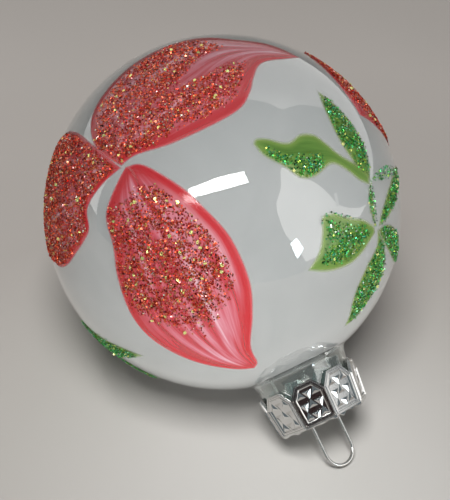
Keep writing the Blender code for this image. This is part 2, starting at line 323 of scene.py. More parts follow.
def brushed_paint(name, stops, edge_stops, edge_reach, stretch, soft_edge, thick, thin):
    """Thin glossy paint with streaks along the brush, and another colour along its edge.

    Edge stops run over edge_reach and their alpha is how much they cover. The paint fades in over
    soft_edge, and its streaks cover a share between thin and thick. It reads the UV map (along and
    across the stroke) and the distance to the outline, and all its lengths are in millimetres.
    """
    shader = new_shader(name)
    stroke = shader.node("Mapping", Vector=shader.node("UVMap", uv_map="stroke"), Scale=stretch)
    streaks = shader.node("TexNoise", Vector=stroke, Scale=1.0, Detail=5.0, Roughness=0.55, Distortion=0.5)
    distance = shader.node("Attribute", attribute_name="from_edge").outputs["Fac"]
    wander = shader.mapped(streaks, -0.8, 0.8, clamp=False)
    wandering = shader.node("Math", wander, distance, operation="ADD")
    inner = shader.ramp(stops, streaks)
    edge = shader.ramp(edge_stops, shader.mapped(wandering, 0.0, 1.0, 0.0, edge_reach))
    colour = shader.mixed_colour(edge.outputs["Alpha"], inner, edge)
    fade_in = shader.mapped(distance, 0.0, 1.0, 0.0, soft_edge, interpolation_type="SMOOTHSTEP")
    cover = shader.mapped(streaks, thin, thick, 0.3, 0.7)
    alpha = shader.node("Math", fade_in, cover, operation="MULTIPLY")
    bump = shader.node("Bump", Strength=0.12, Distance=0.0001, Height=streaks)
    paint = shader.node("BsdfPrincipled", Base_Color=colour, Alpha=alpha, Roughness=0.12, Normal=bump)
    return shader.surface(shader.passes_soft_light(paint))


def covering(colour, share):
    """A colour with an alpha, for the edge of brushed paint."""
    return (*colour[:3], share)


def petal_paint():
    """Watery pink with deep red strokes along the outline."""
    inner = [(0.36, srgb(188, 26, 36)), (0.43, srgb(202, 62, 76)), (0.50, srgb(210, 108, 122)),
             (0.58, srgb(220, 148, 162)), (0.66, srgb(234, 196, 206))]
    red = srgb(196, 36, 44)
    edge = [(0.0, covering(srgb(214, 84, 92), 0.8)), (0.2, covering(red, 1.0)), (0.45, covering(red, 0.95)),
            (1.0, covering(red, 0.0))]
    return brushed_paint("petal_paint", inner, edge, 4.2, (1.4, 9.0, 1.0), 0.5, 0.92, 0.56)


def leaf_paint():
    """Soft green that turns yellow and thin at its edges."""
    inner = [(0.3, srgb(72, 112, 44)), (0.5, srgb(100, 138, 62)), (0.7, srgb(128, 158, 82))]
    edge = [(0.0, covering(srgb(168, 182, 106), 1.0)), (0.35, covering(srgb(130, 156, 78), 0.9)),
            (1.0, covering(srgb(96, 130, 56), 0.0))]
    return brushed_paint("leaf_paint", inner, edge, 2.0, (1.5, 4.0, 1.0), 1.3, 1.0, 0.9)


def foil(name, metallic, roughness):
    """Shiny flakes, each in its own colour and unevenly polished."""
    shader = new_shader(name)
    grain = shader.texture("Noise", Scale=6000.0, Detail=1.0)
    colour = shader.node("Attribute", attribute_name="flake_colour")
    rough = shader.mapped(grain, roughness - 0.06, roughness + 0.12)
    flakes = shader.node("BsdfPrincipled", Base_Color=colour, Metallic=metallic, Roughness=rough)
    return shader.surface(flakes)


def metal(name, colour, roughness, scratch_scale, scratch_depth):
    """Bright metal with fine scratches and uneven polish."""
    shader = new_shader(name)
    scratches = shader.texture("Noise", Scale=scratch_scale, Detail=4.0, Roughness=0.6)
    rough = shader.mapped(scratches, roughness * 0.5, roughness * 1.8)
    bump = shader.node("Bump", Strength=0.25, Distance=scratch_depth, Height=scratches)
    return shader.surface(shader.node("BsdfPrincipled", Base_Color=colour, Metallic=1.0, Roughness=rough,
                                      Normal=bump))


# ---------------------------------------------------------------- glass and lining

NECK_STEPS = 12
BEND_STEPS = 14
BALL_STEPS = 110
RIM_STEPS = 8
AROUND = 192


def neck_bend(inset):
    """The bend between ball and neck, inset from the outside: its centre, radius and end angle."""
    reach = NECK_ROOT_RADIUS + NECK_FILLET
    level = sqrt((BALL + NECK_FILLET) ** 2 - reach**2)
    return (reach, level), NECK_FILLET + inset, atan2(level, reach)


def wall_line(inset):
    """One side of the glass, from the neck's rim down to the bottom of the ball."""
    centre, bend, meet = neck_bend(inset)
    top = RIM_RADIUS - inset
    foot = centre[0] - bend
    neck = [(top + (foot - top) * step / NECK_STEPS, RIM_LEVEL + (centre[1] - RIM_LEVEL) * step / NECK_STEPS)
            for step in range(NECK_STEPS)]
    ball = arc((0, 0), BALL - inset, meet, -pi / 2, BALL_STEPS)
    return neck + arc(centre, bend, pi, pi + meet, BEND_STEPS) + ball[1:-1] + [(0.0, inset - BALL)]


UNEVEN_FROM = 2.0  # how far below the ball's top level the neck's uneven glass begins
UNEVEN_DEPTH = 0.12
UNEVEN_SCALE = 0.35
TRUE_RIM = 1.0  # length of even glass at the rim


def build_glass():
    """The ball and its neck, with a rolled rim and slightly uneven glass in the neck."""
    wall = GLASS_WALL
    rim = arc((RIM_RADIUS - wall / 2, RIM_LEVEL - wall / 2), wall / 2, pi, 0.0, RIM_STEPS)
    inside = wall_line(wall)
    profile = inside[:0:-1] + rim + wall_line(0.0)[1:]
    mesh = turned(profile, AROUND, "glass_shell")
    levels = np.array([vert.co.z for vert in mesh.vertices])
    share = np.clip((levels - BALL + UNEVEN_FROM) / UNEVEN_FROM, 0.0, 1.0)
    point_attribute(mesh, "neck", share)
    for vert, amount in zip(mesh.vertices, share):
        if amount > 0 and vert.co.z < RIM_LEVEL - TRUE_RIM:
            swell = noise.noise(vert.co * UNEVEN_SCALE) * UNEVEN_DEPTH * amount
            vert.co.x *= 1 + swell / NECK_ROOT_RADIUS
            vert.co.y *= 1 + swell / NECK_ROOT_RADIUS
    piece("glass_shell", mesh, clear_glass(), "ball", "clear_glass", "glass_ball")


LINING_BITE = 0.03  # how far the lining reaches into the glass, so that no air shows between them
LINING_THICKNESS = 0.35
LINING_END = radians(0.8)  # how far short of the neck's bend the lining stops
LINING_STEPS = 120


def build_lining():
    """The milky lining, stuck to the inside of the glass and open at the neck."""
    outer = BALL - GLASS_WALL + LINING_BITE
    inner = outer - LINING_THICKNESS
    meet = neck_bend(GLASS_WALL)[2] - LINING_END
    inside = arc((0, 0), inner, -pi / 2, meet, LINING_STEPS)
    outside = arc((0, 0), outer, meet, -pi / 2, LINING_STEPS)
    profile = [(0.0, -inner)] + inside[1:] + outside[:-1] + [(0.0, -outer)]
    mesh = turned(profile, AROUND, "milky_lining")
    piece("milky_lining", mesh, milky_paint(), "ball", "white_coat", "white_coat")


# ---------------------------------------------------------------- painted patches

def direction(polar, azimuth):
    """Unit vector at a polar angle from the neck and an azimuth about it, in degrees."""
    tilt = radians(polar)
    turn = radians(azimuth)
    return Vector((sin(tilt) * cos(turn), sin(tilt) * sin(turn), cos(tilt)))


def surface_point(root, heading, ahead, left):
    """Unit vector to a place on the ball, given in degrees ahead and to the left of a root.

    Heading 0 looks to the neck. The degrees are laid out flat round the root.
    """
    outward = direction(*root)
    to_neck = -direction(root[0] + 90.0, root[1])
    east = to_neck.cross(outward)
    forward = to_neck * cos(radians(heading)) + east * sin(radians(heading))
    side = outward.cross(forward)
    reach = sqrt(ahead**2 + left**2)
    if reach < 1e-6:
        return outward
    way = (forward * ahead + side * left) / reach
    return outward * cos(radians(reach)) + way * sin(radians(reach))


def smooth_line(points, count):
    """Evenly spaced points on the smooth line through a few given ones."""
    points = np.array(points, float)
    ends = np.vstack([2 * points[0] - points[1], points, 2 * points[-1] - points[-2]])
    line = []
    for step in range(len(points) - 1):
        before, start, end, after = ends[step:step + 4]
        for share in np.linspace(0, 1, 24, endpoint=False):
            line.append(0.5 * (2 * start + (end - before) * share
                               + (2 * before - 5 * start + 4 * end - after) * share**2
                               + (3 * start - before - 3 * end + after) * share**3))
    line.append(points[-1])
    line = np.array(line)
    lengths = np.r_[0, np.cumsum(np.linalg.norm(np.diff(line, axis=0), axis=1))]
    even = np.linspace(0, lengths[-1], count)
    return np.c_[np.interp(even, lengths, line[:, 0]), np.interp(even, lengths, line[:, 1])]


BLADE_POINTS = 9
BLADE_LEAN = 0.88  # under 1, a blade is widest nearer its root
BLADE_FULLNESS = 0.8
SPINE_FULLNESS = 0.7


def blade_edges(reach, half_width, bow):
    """Left and right edge of a plain leaf or stem: pointed at both ends, its spine bowed to the left."""
    along = np.linspace(0, 1, BLADE_POINTS)
    width = half_width * np.maximum(np.sin(pi * along**BLADE_LEAN), 0) ** BLADE_FULLNESS
    spine = bow * np.maximum(np.sin(pi * along), 0) ** SPINE_FULLNESS
    return np.c_[reach * along, spine + width], np.c_[reach * along, spine - width]


DEGREE = BALL * pi / 180  # millimetres on the ball in a degree


class Patch:
    """A patch on the ball between a left and a right edge, in degrees ahead and left of its root."""

    def __init__(self, root, heading, left, right, rows=72, columns=36):
        self.root = root
        self.heading = heading
        self.left = smooth_line(left, rows)
        self.right = smooth_line(right, rows)
        self.rows = rows
        self.columns = columns
        outline = np.vstack([self.left, self.right[::-1]])
        self.starts = outline
        self.spans = np.roll(outline, -1, axis=0) - outline

    def areas(self):
        """Area from the root up to each row, in square millimetres."""
        widths = np.linalg.norm(self.left - self.right, axis=1)
        steps = np.linalg.norm(np.diff((self.left + self.right) / 2, axis=0), axis=1)
        return np.r_[0, np.cumsum((widths[1:] + widths[:-1]) / 2 * steps * DEGREE**2)]

    def flat(self, along, across):
        """Degrees ahead and left, at shares along the patch and across it from right to left."""
        row = along * (self.rows - 1)
        index = min(int(row), self.rows - 2)
        share = row - index
        left = self.left[index] * (1 - share) + self.left[index + 1] * share
        right = self.right[index] * (1 - share) + self.right[index + 1] * share
        return right + (left - right) * across

    def from_edge(self, place):
        """Distance from a flat place to the outline, in millimetres on the ball."""
        lengths = np.maximum((self.spans**2).sum(axis=1), 1e-12)
        share = np.clip(((place - self.starts) * self.spans).sum(axis=1) / lengths, 0, 1)
        nearest = self.starts + self.spans * share[:, None]
        return np.sqrt(((place - nearest) ** 2).sum(axis=1)).min() * DEGREE

    def on_ball(self, place):
        """Unit vector to a flat place."""
        return surface_point(self.root, self.heading, *place)


PAINT_GAP = 0.02  # clear of the glass
PAINT_SKIN = 0.01  # paint's thickness at its edge
SWELL_STEP = 0.15  # for each such step in from the edge, what is short of the full thickness shrinks
SWELL_SHRINK = 0.9


def paint_patch(name, patch, material, slot, thickness, *replaced):
    """The paint of a patch: a closed thin layer that swells from its edge, with a stroke UV map."""
    shape = bmesh.new()
    distance = shape.verts.layers.float.new("from_edge")
    stroke = shape.loops.layers.uv.new("stroke")
    sheets = []
    uvs = {}
    for side in (1, 0):
        sheet = []
        for row in range(patch.rows):
            line = []
            for column in range(patch.columns):
                share = (row / (patch.rows - 1), column / (patch.columns - 1))
                place = patch.flat(*share)
                edge = patch.from_edge(place)
                swell = thickness * (1 - SWELL_SHRINK ** (edge / SWELL_STEP))
                lift = PAINT_GAP + side * (PAINT_SKIN + swell)
                vert = shape.verts.new(patch.on_ball(place) * (BALL + lift))
                vert[distance] = edge
                uvs[vert] = share
                line.append(vert)
            sheet.append(line)
        sheets.append(sheet)
    top, bottom = sheets
    last_row, last_column = patch.rows - 1, patch.columns - 1
    for row in range(last_row):
        for column in range(last_column):
            corners = [(row, column), (row, column + 1), (row + 1, column + 1), (row + 1, column)]
            shape.faces.new([top[r][c] for r, c in corners])
            shape.faces.new([bottom[r][c] for r, c in reversed(corners)])
    border = [(0, c) for c in range(last_column)] + [(r, last_column) for r in range(last_row)]
    border += [(last_row, c) for c in range(last_column, 0, -1)] + [(r, 0) for r in range(last_row, 0, -1)]
    for (r1, c1), (r2, c2) in zip(border, border[1:] + border[:1]):
        shape.faces.new([top[r1][c1], bottom[r1][c1], bottom[r2][c2], top[r2][c2]])
    for face in shape.faces:
        for loop in face.loops:
            loop[stroke].uv = uvs[loop.vert]
    bmesh.ops.remove_doubles(shape, verts=shape.verts, dist=0.004)
    bmesh.ops.dissolve_degenerate(shape, edges=shape.edges, dist=0.0005)
    bmesh.ops.recalc_face_normals(shape, faces=shape.faces)
    piece(name, mesh_of(shape, name, sharp=60), material, "ball", slot, *replaced)


def fade(value, start, end):
    """0 before start, 1 after end, and a straight line between."""
    return min(max((value - start) / (end - start), 0.0), 1.0)


def bell(value, middle, width):
    """A smooth hump of height 1."""
    return exp(-(((value - middle) / width) ** 2))


FLAKE_SIDES = 6
FLAKE_DEPTH = 0.8  # depth of a flake's point under its flat top, in flake radii
FLAKE_TILT = 0.42  # spread of a flake's two tilts, in radians
FLAKE_LEVEL = (0.19, 0.40)  # height of a flake's top over the glass
FLAKE_BRIGHTNESS = (0.4, 1.1)
SPARKLE = srgb(255, 240, 150)
SPARKLE_SHARE = 0.008
SPARKLE_GROWTH = 1.7
SPARKLE_BRIGHTNESS = 1.2
# Clumps: scale of a noise on a ball of radius 1, bare where it is below and full where it is above
CLUMPS = [(14.0, -0.4, 0.0), (45.0, -0.5, -0.1)]
CLUMPED_SHARE = 0.65


def clumping(outward):
    """Share of flakes kept at a place on the ball, because they lie in clumps."""
    share = CLUMPED_SHARE
    for scale, bare, full in CLUMPS:
        share *= fade(noise.noise(outward * scale), bare, full)
    return 1 - CLUMPED_SHARE + share


class Glitter:
    """A kind of loose glitter: flakes of a range of radii and of colours with their shares.

    Cover is the number of flakes tried for each square millimetre.
    """

    def __init__(self, slot, metallic, size, cover, colours):
        self.slot = slot
        self.material = foil(slot, metallic, 0.22)
        self.size = size
        self.cover = cover
        self.colours, self.shares = zip(*colours)


def flake_points(middle, turn, radius):
    """The corners of a flake's flat top, and the point under it."""
    angles = [2 * pi * side / FLAKE_SIDES for side in range(FLAKE_SIDES)]
    rim = [middle + turn @ Vector((radius * cos(angle), radius * sin(angle), 0.0)) for angle in angles]
    return rim + [middle - turn @ Vector((0.0, 0.0, FLAKE_DEPTH * radius))]


def flake_faces(first):
    """The faces of a flake whose points are counted from first."""
    sides = range(FLAKE_SIDES)
    point = first + FLAKE_SIDES
    return [[first + side for side in sides]] + [[first + (side + 1) % FLAKE_SIDES, first + side, point]
                                                 for side in sides]


def scatter(name, patch, density, kind, seed, *replaced):
    """Loose glitter on a patch: small flakes with flat tops, tipped every way, and a few large ones.

    density(along, across, edge) is the share of flakes kept there.
    """
    dice = random.Random(seed)
    rows = patch.areas()
    points, faces, tints = [], [], []
    for _ in range(int(rows[-1] * kind.cover)):
        along = np.interp(dice.random() * rows[-1], rows, np.linspace(0, 1, patch.rows))
        across = dice.random()
        keep = dice.random()
        colour = dice.choices(kind.colours, kind.shares)[0]
        radius = dice.uniform(*kind.size)
        bright = dice.uniform(*FLAKE_BRIGHTNESS)
        if dice.random() < SPARKLE_SHARE:
            radius = SPARKLE_GROWTH * kind.size[1]
            colour = SPARKLE
            bright = SPARKLE_BRIGHTNESS
        tip = Euler((dice.gauss(0, FLAKE_TILT), dice.gauss(0, FLAKE_TILT), dice.uniform(0, pi)))
        level = dice.uniform(*FLAKE_LEVEL)
        place = patch.flat(along, across)
        outward = patch.on_ball(place)
        if keep > density(along, across, patch.from_edge(place)) * clumping(outward):
            continue
        turn = outward.to_track_quat("Z", "Y").to_matrix() @ tip.to_matrix()
        faces += flake_faces(len(points))
        points += flake_points(outward * (BALL + level), turn, radius)
        tint = [min(channel * bright, 1.0) for channel in colour[:3]] + [1.0]
        tints += tint * (FLAKE_SIDES + 1)
    mesh = bpy.data.meshes.new(name)
    mesh.from_pydata(points, [], faces)
    mesh.attributes.new("flake_colour", "FLOAT_COLOR", "POINT").data.foreach_set("color", tints)
    piece(name, mesh, kind.material, "ball", kind.slot, *replaced)


# ---------------------------------------------------------------- flowers

FLOWERS = {"front": (110.0, 142.0), "back": (108.0, -20.0)}
# Petals: heading from the flower's middle (0 to the neck), left edge, right edge, in degrees
PETALS = {
    "neck": (0.0,
             [(0, 1), (2, 6.6), (12, 14.4), (20, 18.3), (32, 21.9), (46, 20.6), (57, 15), (68, 6.4), (76, 2.9),
              (78.6, -1)],
             [(0, 1), (3.4, -3.7), (9.8, -10.9), (18.7, -13.1), (27, -17.5), (39.4, -22.3), (50, -22.3),
              (63, -16.8), (74.4, -7.4), (78.6, -1)]),
    "right": (-118.0,
              [(0, 0.5), (-1.5, 9), (-1, 17), (4, 26.5), (13, 32), (27, 35.5), (41, 35), (50, 30), (57, 20),
               (67, 11.5), (72.5, 0)],
              [(0, 0.5), (5, -1.2), (14, -7.6), (26, -12.3), (36, -13.5), (43, -10.2), (48, -5.8), (55, -1),
               (65, -1.2), (72.5, 0)]),
    "left": (98.0,
             [(0, 0), (8, 2.6), (15.5, 7), (18, 14), (32, 18.2), (41, 17.4), (48, 13.5), (57, 7), (66, -3)],
             [(0, 0), (10, -11.8), (19, -21.3), (30, -28), (42, -28.5), (53, -22), (61, -13), (66, -3)]),
}
# A petal's own shifts: of its root about the neck, and of its heading
PETAL_SHIFTS = {"back_left": (12.0, -12.0)}
PETAL_THICKNESS = 0.16

# Flakes: colour and share
RED_FLAKES = [
    (srgb(246, 104, 62), 32), (srgb(232, 66, 50), 24), (srgb(250, 146, 108), 16), (srgb(186, 30, 34), 9),
    (srgb(70, 12, 18), 4), (srgb(246, 170, 168), 9), (srgb(252, 220, 140), 2), (srgb(252, 248, 232), 2),
]
GREEN_FLAKES = [
    (srgb(84, 204, 96), 32), (srgb(50, 150, 70), 20), (srgb(84, 210, 160), 12), (srgb(178, 216, 82), 12),
    (srgb(20, 60, 34), 8), (srgb(160, 236, 176), 10), (srgb(232, 232, 120), 3), (srgb(238, 250, 238), 3),
]


def neck_petal_glitter(along, across, edge):
    """Glitter on the petal that points to the neck: its upper half, clear of its left edge."""
    limit = 0.66 - 0.22 * fade(across, 0.45, 0.0) - 0.12 * fade(across, 0.5, 0.95)
    margin = 0.4 + 2.4 * fade(across, 0.5, 0.9)
    lengthwise = fade(along, 0.13, 0.18) * fade(along, limit + 0.04, limit - 0.06)
    return lengthwise * fade(edge, margin, margin + 1.0)


def right_petal_glitter(along, across, edge):
    """Glitter on the petal that lies across the top: two lobes with bare paint between them."""
    limit = 0.68 - 0.26 * bell(across, 0.42, 0.10) - 0.1 * fade(across, 0.6, 1.0)
    margin = 0.2 + 2.2 * fade(along, 0.12, 0.3)
    return fade(along, limit + 0.03, limit - 0.05) * fade(edge, margin, margin + 1.2)


def left_petal_glitter(along, across, edge):
    """Glitter on the petal that faces away: almost all of it."""
    return fade(along, 0.9, 0.82) * fade(edge, 0.5, 1.4)


PETAL_GLITTER = {"neck": neck_petal_glitter, "right": right_petal_glitter, "left": left_petal_glitter}


def build_flowers():
    """Two painted flowers of three petals, with their glitter."""
    paint = petal_paint()
    red = Glitter("red_glitter", 0.75, (0.13, 0.24), 14.0, RED_FLAKES)
    seed = 10
    for flower, (polar, azimuth) in FLOWERS.items():
        for petal, (heading, left, right) in PETALS.items():
            name = f"{flower}_{petal}"
            turn, swing = PETAL_SHIFTS.get(name, (0.0, 0.0))
            patch = Patch((polar, azimuth + turn), heading + swing, left, right)
            paint_patch(f"paint_petal_{name}", patch, paint, "petal_paint", PETAL_THICKNESS, f"petal_{name}")
            scatter(f"glitter_petal_{name}", patch, PETAL_GLITTER[petal], red, seed, f"petal_glitter_{name}")
            seed += 1


# ---------------------------------------------------------------- leaves

JOINTS = {
    "front_a": (76.0, 69.0), "front_b": (61.5, 69.0), "back_a": (82.0, -137.0), "back_b": (71.0, -137.0),
}
# Plain leaves: joint, heading, reach, half width and bow
PLAIN_LEAVES = {
    "front_1": ("front_a", 175.0, 32.0, 5.6, 0.8),
    "front_5": ("front_b", -114.0, 35.0, 3.8, 1.5),
    "front_6": ("front_b", -52.0, 31.0, 4.4, 2.0),
    "back_1": ("back_a", -53.0, 50.0, 6.0, 2.0),
    "back_2": ("back_b", -28.0, 31.0, 6.0, 2.0),
    "back_3": ("back_a", 174.0, 30.0, 5.4, -2.0),
    "back_4": ("back_a", 116.0, 36.0, 6.2, 0.0),
    "back_5": ("back_b", 92.0, 26.0, 5.2, -2.0),
}
# Leaves brushed freely: joint, heading, left edge and right edge
FREE_LEAVES = {
    "front_2": ("front_a", 117.0,
                [(0, 1.8), (5.4, 1.7), (11, 0), (16, -0.6), (19.5, 2.5), (22, 4.7), (26.5, 5.8), (32, 3.2),
                 (38, 0.6), (41.4, -3.1)],
                [(0, -1.6), (4.7, -3.4), (13, -5.2), (18, -7.7), (22, -9.6), (27, -8.8), (31, -5.4), (37, -6),
                 (40.5, -5.4), (41.4, -3.1)]),
    "front_3": ("front_b", 82.0,
                [(1, 1), (4, 2.6), (8, 4.8), (13, 6.5), (18.5, 6.6), (24, 5.6), (29.6, 3.3)],
                [(1, -1.4), (6, -5.6), (12, -8.4), (17, -11.4), (21.5, -11.6), (23, -7), (25, -2),
                 (29.6, 3.3)]),
    "front_4": ("front_b", 14.0,
                [(0, 1), (3.5, 5), (8, 9), (14, 11), (19, 10.4), (25.8, 6.8), (30.5, 4.4), (33, 0.9)],
                [(0, -0.5), (5, 0.6), (11, -2.4), (17, -3.9), (23, -3.3), (28, -0.8), (33, 0.9)]),
}
# Stems: joint, heading, reach, half width and bow
STEMS = {"front": ("front_a", 2.0, 14.4, 1.7, -1.6), "back": ("back_a", 2.0, 10.8, 1.5, 0.8)}
LINK = ("front_a", -88.0, 25.0, 2.0, 1.0)  # spilled glitter from a joint to the tip of a leaf
LEAF_THICKNESS = 0.14


def whole_leaf_glitter(along, across, edge):
    """Glitter on all but a leaf's tip and edges."""
    return fade(along, 0.02, 0.1) * fade(along, 0.92, 0.82) * fade(edge, 0.25, 1.1)


def low_leaf_glitter(along, across, edge):
    """Glitter on the outer, lower part of a leaf."""
    return fade(along, 0.42, 0.48) * fade(along, 0.9, 0.84) * fade(across, 0.42, 0.56) * fade(edge, 0.4, 1.0)


def middle_leaf_glitter(along, across, edge):
    """Glitter on the middle of a leaf, with some spilled along its right edge."""
    middle = fade(along, 0.08, 0.2) * fade(along, 0.86, 0.74) * fade(edge, 1.2, 2.4)
    spilled = 0.7 * fade(across, 0.1, 0.04) * fade(along, 0.2, 0.3) * fade(along, 0.66, 0.56)
    return max(middle, spilled)


def stem_glitter(along, across, edge):
    """Glitter all over a stem."""
    return 0.7


def link_glitter(along, across, edge):
    """Spilled glitter, thinner halfway."""
    return 0.8 - 0.4 * bell(along, 0.5, 0.2)


LEAF_GLITTER = {"front_2": low_leaf_glitter, "front_3": middle_leaf_glitter}


def blade_patch(joint, heading, reach, half_width, bow, rows=24, columns=8):
    """The patch of a plain leaf or stem that starts at a joint."""
    left, right = blade_edges(reach, half_width, bow)
    return Patch(JOINTS[joint], heading, left, right, rows, columns)


def build_leaves():
    """Two sprigs of painted leaves with their glitter, and the stems that join them."""
    paint = leaf_paint()
    green = Glitter("green_glitter", 0.7, (0.12, 0.22), 13.0, GREEN_FLAKES)
    patches = {name: blade_patch(*blade, rows=44, columns=16) for name, blade in PLAIN_LEAVES.items()}
    for name, (joint, heading, left, right) in FREE_LEAVES.items():
        patches[name] = Patch(JOINTS[joint], heading, left, right, 56, 24)
    for seed, name in enumerate(sorted(patches), 40):
        patch = patches[name]
        density = LEAF_GLITTER.get(name, whole_leaf_glitter)
        paint_patch(f"paint_leaf_{name}", patch, paint, "leaf_paint", LEAF_THICKNESS, f"leaf_{name}")
        scatter(f"glitter_leaf_{name}", patch, density, green, seed, f"leaf_glitter_{name}")
    for name, stem in STEMS.items():
        patch = blade_patch(*stem)
        paint_patch(f"paint_stem_{name}", patch, paint, "leaf_paint", LEAF_THICKNESS, f"stem_{name}")
        scatter(f"glitter_stem_{name}", patch, stem_glitter, green, 61)
    scatter("glitter_link", blade_patch(*LINK), link_glitter, green, 62)


# ---------------------------------------------------------------- cap and wire

RIDGES = (0.32, 0.9)  # distance of the border's two ridges from a tab's outline
RIDGE_WIDTH = 0.36
RIDGE_HEIGHT = 0.2
PANEL_SINK = 0.08
PANEL_SLOPE = 0.12
TRIANGLE_SIDE = 2.3
TRIANGLE_ROW = 2.5
TRIANGLE_COLUMN = 1.75
TRIANGLE_HEIGHT = 0.23
TRIANGLE_TOP = 0.12  # size of a triangle's flat top beside its foot
TRIANGLE_STEP = 0.94  # size of a triangle where it leaves the panel
TRIANGLE_ROOT = 0.1  # how deep a triangle is set into the panel
TRIANGLE_RISE = 0.1  # how far the rows lie towards the plate from the middle of the tab
PLATE_ROUND = 0.35
PLATE_STEPS = [(1.1, 0.0), (1.4, -0.22), (3.4, -0.22), (3.6, -0.08)]  # distance in from the edge, and lift
CRIMP_DEPTH = 0.16
CRIMP_SCALE = 0.9
CRIMP_REACH = 1.0  # distance in from the plate's edge that is crimped
HOLE_CLEARANCE = 0.3
RING_STEPS = 8
HALF_FLAT = tan(pi / CAP_FLATS)


def cap_apothem(level):
    """Distance from the neck axis to a flat of the cap between its ridges, at a level."""
    down = (PLATE_LEVEL - level) / (PLATE_LEVEL - MOUTH_LEVEL)
    return PLATE_APOTHEM + (MOUTH_APOTHEM - PLATE_APOTHEM) * down - RIDGE_HEIGHT


def cap_place(flat, sideways, apothem, level):
    """A point beside one flat's middle, at a distance from the neck axis."""
    turn = Matrix.Rotation(CAP_TURN + 2 * pi * flat / CAP_FLATS, 3, "Z")
    return turn @ Vector((apothem, sideways, level))


def cap_point(flat, sideways, level, lift=0.0):
    """A point on one flat of the cap, sideways from its middle and lifted off it."""
    return cap_place(flat, sideways, cap_apothem(level) + lift, level)


def inset_outline(outline, inset):
    """A convex outline of flat vectors, anticlockwise, with every side moved inwards."""
    moved = []
    for before, corner, after in zip(outline[-1:] + outline[:-1], outline, outline[1:] + outline[:1]):
        coming = (corner - before).normalized()
        going = (after - corner).normalized()
        inward = Vector((-coming.y - going.y, coming.x + going.x))
        moved.append(corner + inward * inset / (1 + coming.dot(going)))
    return moved


def tab_outline():
    """Outline of a tab on its flat: sideways from its middle, and level."""
    notch = MOUTH_LEVEL + NOTCH_DEPTH
    shoulder = PLATE_LEVEL - PLATE_ROUND
    wide = HALF_FLAT * cap_apothem(notch)
    narrow = HALF_FLAT * cap_apothem(shoulder)
    tip = TAB_TIP_WIDTH / 2
    return [Vector(place) for place in [(-narrow, shoulder), (-wide, notch), (-tip, MOUTH_LEVEL),
                                        (tip, MOUTH_LEVEL), (wide, notch), (narrow, shoulder)]]


def panel_steps():
    """The relief of a tab from its outline inwards, as distance in and lift."""
    steps = [(0.0, 0.0)]
    for ridge in RIDGES:
        steps += [(ridge - RIDGE_WIDTH / 2, 0.0), (ridge - RIDGE_WIDTH / 6, RIDGE_HEIGHT),
                  (ridge + RIDGE_WIDTH / 6, RIDGE_HEIGHT), (ridge + RIDGE_WIDTH / 2, 0.0)]
    return steps + [(steps[-1][0] + PANEL_SLOPE, -PANEL_SINK)]


def add_tab(shape, flat):
    """One tab: its pressed outer face, its plain inner face and the free edge between them."""
    outline = tab_outline()
    rings = []
    for inset, lift in panel_steps():
        line = inset_outline(outline, inset)
        rings.append([shape.verts.new(cap_point(flat, place.x, place.y, lift)) for place in line])
    join_rings(shape, rings)
    shape.faces.new(rings[-1])
    inner = []
    for place in outline:
        level = place.y if place.y < outline[0].y else PLATE_LEVEL - CAP_SHEET
        inside = cap_apothem(level) - CAP_SHEET
        sideways = place.x if level == MOUTH_LEVEL else HALF_FLAT * inside * (1 if place.x > 0 else -1)
        inner.append(shape.verts.new(cap_place(flat, sideways, inside, level)))
    shape.faces.new(list(reversed(inner)))
    for corner in (1, 2, 3):
        shape.faces.new([rings[0][corner + 1], rings[0][corner], inner[corner], inner[corner + 1]])


def plate_ring(shape, out, lift):
    """A ring of vertices on the plate, at a distance out from its edge and a lift, crimped near the edge."""
    apothem = cap_apothem(PLATE_LEVEL) + out
    crimp_depth = CRIMP_DEPTH if out > -CRIMP_REACH else 0.0
    ring = []
    for flat in range(CAP_FLATS):
        for step in range(RING_STEPS):
            sideways = HALF_FLAT * apothem * (2 * step / RING_STEPS - 1)
            place = cap_place(flat, sideways, apothem, PLATE_LEVEL + lift)
            crimp = crimp_depth * noise.noise(place * CRIMP_SCALE)
            ring.append(shape.verts.new(place * (1 + crimp / PLATE_APOTHEM)))
    return ring


def add_plate(shape):
    """The plate that closes the cap: a rounded, slightly crimped edge and shallow round steps."""
    rounds = arc((-PLATE_ROUND, -PLATE_ROUND), PLATE_ROUND, 0.0, pi / 2, 4)
    steps = rounds[1:] + [(-inset, lift) for inset, lift in PLATE_STEPS]
    rings = [plate_ring(shape, out, lift) for out, lift in steps]
    join_rings(shape, rings)
    shape.faces.new(rings[-1])
    shoulder = tab_outline()[0]
    under = PLATE_LEVEL - CAP_SHEET
    inside = cap_apothem(under) - CAP_SHEET
    underside = []
    for flat in range(CAP_FLATS):
        corners = [shape.verts.new(cap_point(flat, sideways, shoulder.y))
                   for sideways in (shoulder.x, -shoulder.x)]
        edge = [rings[0][(flat * RING_STEPS + step) % len(rings[0])] for step in range(RING_STEPS + 1)]
        shape.faces.new(corners + edge[::-1])
        underside.append(shape.verts.new(cap_place(flat, -HALF_FLAT * inside, inside, under)))
    shape.faces.new(list(reversed(underside)))


def add_raised_triangle(shape, flat, sideways, level, points_up):
    """A pressed triangle on a flat: a low flat-topped pyramid."""
    way = 1 if points_up else -1
    steps = [(1.0, -PANEL_SINK - TRIANGLE_ROOT), (TRIANGLE_STEP, -PANEL_SINK),
             (TRIANGLE_TOP, TRIANGLE_HEIGHT - PANEL_SINK)]
    rings = []
    for share, lift in steps:
        reach = share * TRIANGLE_SIDE / sqrt(3)
        angles = [pi / 2 + corner * 2 * pi / 3 for corner in range(3)]
        rings.append([shape.verts.new(cap_point(flat, sideways + reach * cos(angle),
                                                level - way * reach * sin(angle), lift))
                      for angle in angles])
    join_rings(shape, rings)
    shape.faces.new(rings[-1])
    shape.faces.new(list(reversed(rings[0])))


